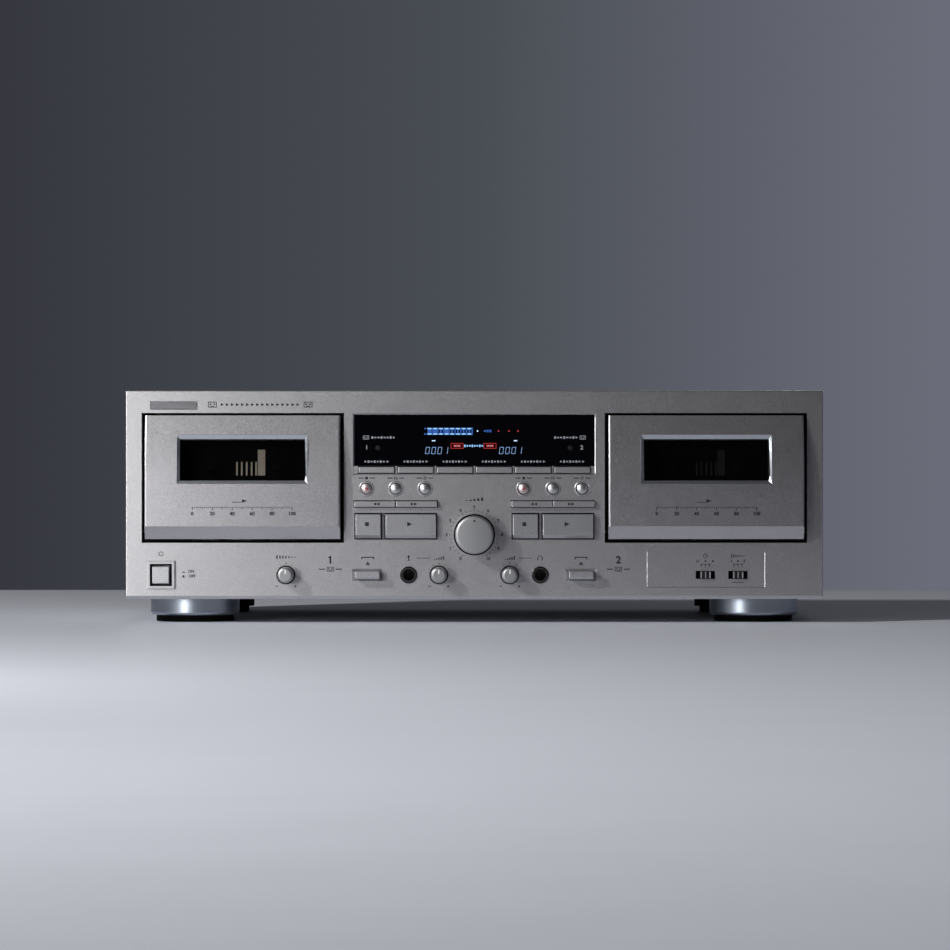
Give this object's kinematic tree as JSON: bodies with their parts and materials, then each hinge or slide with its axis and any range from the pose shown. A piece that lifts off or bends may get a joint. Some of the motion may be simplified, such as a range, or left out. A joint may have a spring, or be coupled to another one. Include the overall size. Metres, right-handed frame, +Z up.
{
  "type": "double cassette deck",
  "caption": "Full-width silver hi-fi cassette duplicator with tilting cassette doors, a display between them, level knobs, transport keys and headphone and microphone sockets.",
  "frame": {"origin": "on the floor, under the middle of the whole outline", "axes": "+X to the right as the user sees it, +Y from the front panel to the back, +Z up"},
  "size_m": [0.435, 0.286, 0.145],
  "materials": {
    "panel_metal": "satin silver anodised",
    "door_metal": "satin silver anodised",
    "smoked_pane": "smoked clear plastic",
    "display_pane": "gloss black",
    "cover_paint": "satin silver-grey paint",
    "chassis_steel": "zinc plated sheet",
    "rear_paint": "matt black paint",
    "foot_metal": "turned and polished",
    "foot_rubber": "matt black rubber",
    "key_silver": "satin silver paint",
    "knob_metal": "satin, polished rim",
    "slider_plastic": "pale ribbed",
    "black_plastic": "fine moulded grain",
    "socket_black": "gloss black",
    "board_green": "solder mask",
    "transformer_iron": "varnished laminations",
    "flywheel_steel": "turned",
    "bridge_steel": "bright plated",
    "screw_steel": "plated"
  },
  "bodies": {
    "case": {"front_panel": "panel_metal", "display_window": "display_pane", "control_board": "board_green", "top_cover": "cover_paint", "chassis_base": "chassis_steel", "rear_panel": "rear_paint", "front_feet": "foot_metal", "rubber_feet": "foot_rubber", "main_board": "board_green", "power_transformer": "transformer_iron", "front_jacks": "socket_black", "rear_sockets": "socket_black", "cover_screws": "screw_steel", "deck_mechanism_1": "black_plastic", "deck_mechanism_2": "black_plastic"},
    "door_1": {"door_panel_1": "door_metal", "door_window_1": "smoked_pane", "cassette_holder_1": "black_plastic"},
    "supply_spindle_1": {"supply_spindle_1": "black_plastic"},
    "take_up_spindle_1": {"take_up_spindle_1": "black_plastic"},
    "capstan_flywheel_1": {"capstan_flywheel_1": "flywheel_steel"},
    "head_bridge_1": {"head_bridge_1": "bridge_steel"},
    "record_button_1": {"record_button_1": "key_silver"},
    "pause_button_1": {"pause_button_1": "key_silver"},
    "rec_mute_button_1": {"rec_mute_button_1": "key_silver"},
    "rewind_button_1": {"rewind_button_1": "key_silver"},
    "forward_button_1": {"forward_button_1": "key_silver"},
    "stop_button_1": {"stop_button_1": "key_silver"},
    "play_button_1": {"play_button_1": "key_silver"},
    "eject_button_1": {"eject_button_1": "key_silver"},
    "counter_reset_button_1": {"counter_reset_button_1": "black_plastic"},
    "return_to_zero_button_1": {"return_to_zero_button_1": "key_silver"},
    "door_2": {"door_panel_2": "door_metal", "door_window_2": "smoked_pane", "cassette_holder_2": "black_plastic"},
    "supply_spindle_2": {"supply_spindle_2": "black_plastic"},
    "take_up_spindle_2": {"take_up_spindle_2": "black_plastic"},
    "capstan_flywheel_2": {"capstan_flywheel_2": "flywheel_steel"},
    "head_bridge_2": {"head_bridge_2": "bridge_steel"},
    "record_button_2": {"record_button_2": "key_silver"},
    "pause_button_2": {"pause_button_2": "key_silver"},
    "rec_mute_button_2": {"rec_mute_button_2": "key_silver"},
    "rewind_button_2": {"rewind_button_2": "key_silver"},
    "forward_button_2": {"forward_button_2": "key_silver"},
    "stop_button_2": {"stop_button_2": "key_silver"},
    "play_button_2": {"play_button_2": "key_silver"},
    "eject_button_2": {"eject_button_2": "key_silver"},
    "counter_reset_button_2": {"counter_reset_button_2": "black_plastic"},
    "return_to_zero_button_2": {"return_to_zero_button_2": "key_silver"},
    "dimmer_button": {"dimmer_button": "key_silver"},
    "repeat_button": {"repeat_button": "key_silver"},
    "parallel_rec_button": {"parallel_rec_button": "key_silver"},
    "dub_start_button": {"dub_start_button": "key_silver"},
    "power_button": {"power_button": "key_silver"},
    "timer_slider": {"timer_slider": "slider_plastic"},
    "noise_reduction_slider": {"noise_reduction_slider": "slider_plastic"},
    "rec_level_knob": {"rec_level_knob": "knob_metal"},
    "pitch_knob": {"pitch_knob": "knob_metal"},
    "mic_level_knob": {"mic_level_knob": "knob_metal"},
    "phones_level_knob": {"phones_level_knob": "knob_metal"}
  },
  "joints": [
    {"name": "door_1_swing", "type": "hinge", "parent": "case", "child": "door_1", "pos_m": [-0.1444, -0.1249, 0.057], "axis": [1, 0, 0], "range_deg": [0, 30]},
    {"name": "supply_spindle_1_spin", "type": "hinge", "parent": "case", "child": "supply_spindle_1", "pos_m": [-0.16565, -0.1074, 0.0971], "axis": [0, -1, 0], "continuous": true},
    {"name": "take_up_spindle_1_spin", "type": "hinge", "parent": "case", "child": "take_up_spindle_1", "pos_m": [-0.12315, -0.1074, 0.0971], "axis": [0, -1, 0], "continuous": true},
    {"name": "capstan_flywheel_1_spin", "type": "hinge", "parent": "case", "child": "capstan_flywheel_1", "pos_m": [-0.1189, -0.1074, 0.0696], "axis": [0, -1, 0], "continuous": true},
    {"name": "head_bridge_1_lift", "type": "slide", "parent": "case", "child": "head_bridge_1", "axis": [0, 0, 1], "range_m": [0, 0.004], "stiffness_N_per_m": 120},
    {"name": "record_button_1_press", "type": "slide", "parent": "case", "child": "record_button_1", "axis": [0, 1, 0], "range_m": [0, 0.001], "stiffness_N_per_m": 250},
    {"name": "pause_button_1_press", "type": "slide", "parent": "case", "child": "pause_button_1", "axis": [0, 1, 0], "range_m": [0, 0.001], "stiffness_N_per_m": 250},
    {"name": "rec_mute_button_1_press", "type": "slide", "parent": "case", "child": "rec_mute_button_1", "axis": [0, 1, 0], "range_m": [0, 0.001], "stiffness_N_per_m": 250},
    {"name": "rewind_button_1_press", "type": "slide", "parent": "case", "child": "rewind_button_1", "axis": [0, 1, 0], "range_m": [0, 0.001], "stiffness_N_per_m": 250},
    {"name": "forward_button_1_press", "type": "slide", "parent": "case", "child": "forward_button_1", "axis": [0, 1, 0], "range_m": [0, 0.001], "stiffness_N_per_m": 250},
    {"name": "stop_button_1_press", "type": "slide", "parent": "case", "child": "stop_button_1", "axis": [0, 1, 0], "range_m": [0, 0.0012], "stiffness_N_per_m": 250},
    {"name": "play_button_1_press", "type": "slide", "parent": "case", "child": "play_button_1", "axis": [0, 1, 0], "range_m": [0, 0.0012], "stiffness_N_per_m": 250},
    {"name": "eject_button_1_press", "type": "slide", "parent": "case", "child": "eject_button_1", "axis": [0, 1, 0], "range_m": [0, 0.004], "stiffness_N_per_m": 250},
    {"name": "counter_reset_button_1_press", "type": "slide", "parent": "case", "child": "counter_reset_button_1", "axis": [0, 1, 0], "range_m": [0, 0.001], "stiffness_N_per_m": 250},
    {"name": "return_to_zero_button_1_press", "type": "slide", "parent": "case", "child": "return_to_zero_button_1", "axis": [0, 1, 0], "range_m": [0, 0.001], "stiffness_N_per_m": 250},
    {"name": "door_2_swing", "type": "hinge", "parent": "case", "child": "door_2", "pos_m": [0.1444, -0.1249, 0.057], "axis": [1, 0, 0], "range_deg": [0, 30]},
    {"name": "supply_spindle_2_spin", "type": "hinge", "parent": "case", "child": "supply_spindle_2", "pos_m": [0.12315, -0.1074, 0.0971], "axis": [0, -1, 0], "continuous": true},
    {"name": "take_up_spindle_2_spin", "type": "hinge", "parent": "case", "child": "take_up_spindle_2", "pos_m": [0.16565, -0.1074, 0.0971], "axis": [0, -1, 0], "continuous": true},
    {"name": "capstan_flywheel_2_spin", "type": "hinge", "parent": "case", "child": "capstan_flywheel_2", "pos_m": [0.1699, -0.1074, 0.0696], "axis": [0, -1, 0], "continuous": true},
    {"name": "head_bridge_2_lift", "type": "slide", "parent": "case", "child": "head_bridge_2", "axis": [0, 0, 1], "range_m": [0, 0.004], "stiffness_N_per_m": 120},
    {"name": "record_button_2_press", "type": "slide", "parent": "case", "child": "record_button_2", "axis": [0, 1, 0], "range_m": [0, 0.001], "stiffness_N_per_m": 250},
    {"name": "pause_button_2_press", "type": "slide", "parent": "case", "child": "pause_button_2", "axis": [0, 1, 0], "range_m": [0, 0.001], "stiffness_N_per_m": 250},
    {"name": "rec_mute_button_2_press", "type": "slide", "parent": "case", "child": "rec_mute_button_2", "axis": [0, 1, 0], "range_m": [0, 0.001], "stiffness_N_per_m": 250},
    {"name": "rewind_button_2_press", "type": "slide", "parent": "case", "child": "rewind_button_2", "axis": [0, 1, 0], "range_m": [0, 0.001], "stiffness_N_per_m": 250},
    {"name": "forward_button_2_press", "type": "slide", "parent": "case", "child": "forward_button_2", "axis": [0, 1, 0], "range_m": [0, 0.001], "stiffness_N_per_m": 250},
    {"name": "stop_button_2_press", "type": "slide", "parent": "case", "child": "stop_button_2", "axis": [0, 1, 0], "range_m": [0, 0.0012], "stiffness_N_per_m": 250},
    {"name": "play_button_2_press", "type": "slide", "parent": "case", "child": "play_button_2", "axis": [0, 1, 0], "range_m": [0, 0.0012], "stiffness_N_per_m": 250},
    {"name": "eject_button_2_press", "type": "slide", "parent": "case", "child": "eject_button_2", "axis": [0, 1, 0], "range_m": [0, 0.004], "stiffness_N_per_m": 250},
    {"name": "counter_reset_button_2_press", "type": "slide", "parent": "case", "child": "counter_reset_button_2", "axis": [0, 1, 0], "range_m": [0, 0.001], "stiffness_N_per_m": 250},
    {"name": "return_to_zero_button_2_press", "type": "slide", "parent": "case", "child": "return_to_zero_button_2", "axis": [0, 1, 0], "range_m": [0, 0.001], "stiffness_N_per_m": 250},
    {"name": "dimmer_button_press", "type": "slide", "parent": "case", "child": "dimmer_button", "axis": [0, 1, 0], "range_m": [0, 0.001], "stiffness_N_per_m": 250},
    {"name": "repeat_button_press", "type": "slide", "parent": "case", "child": "repeat_button", "axis": [0, 1, 0], "range_m": [0, 0.001], "stiffness_N_per_m": 250},
    {"name": "parallel_rec_button_press", "type": "slide", "parent": "case", "child": "parallel_rec_button", "axis": [0, 1, 0], "range_m": [0, 0.001], "stiffness_N_per_m": 250},
    {"name": "dub_start_button_press", "type": "slide", "parent": "case", "child": "dub_start_button", "axis": [0, 1, 0], "range_m": [0, 0.001], "stiffness_N_per_m": 250},
    {"name": "power_button_press", "type": "slide", "parent": "case", "child": "power_button", "axis": [0, 1, 0], "range_m": [0, 0.003], "stiffness_N_per_m": 250},
    {"name": "timer_slider_slide", "type": "slide", "parent": "case", "child": "timer_slider", "axis": [1, 0, 0], "range_m": [-0.0026, 0.0026]},
    {"name": "noise_reduction_slider_slide", "type": "slide", "parent": "case", "child": "noise_reduction_slider", "axis": [1, 0, 0], "range_m": [-0.0026, 0.0026]},
    {"name": "rec_level_knob_turn", "type": "hinge", "parent": "case", "child": "rec_level_knob", "pos_m": [0, -0.1274, 0.0551], "axis": [0, -1, 0], "range_deg": [-150, 150]},
    {"name": "pitch_knob_turn", "type": "hinge", "parent": "case", "child": "pitch_knob", "pos_m": [-0.1175, -0.1274, 0.03], "axis": [0, -1, 0], "range_deg": [-150, 150]},
    {"name": "mic_level_knob_turn", "type": "hinge", "parent": "case", "child": "mic_level_knob", "pos_m": [-0.0221, -0.1274, 0.03], "axis": [0, -1, 0], "range_deg": [-150, 150]},
    {"name": "phones_level_knob_turn", "type": "hinge", "parent": "case", "child": "phones_level_knob", "pos_m": [0.0221, -0.1274, 0.03], "axis": [0, -1, 0], "range_deg": [-150, 150]}
  ]
}
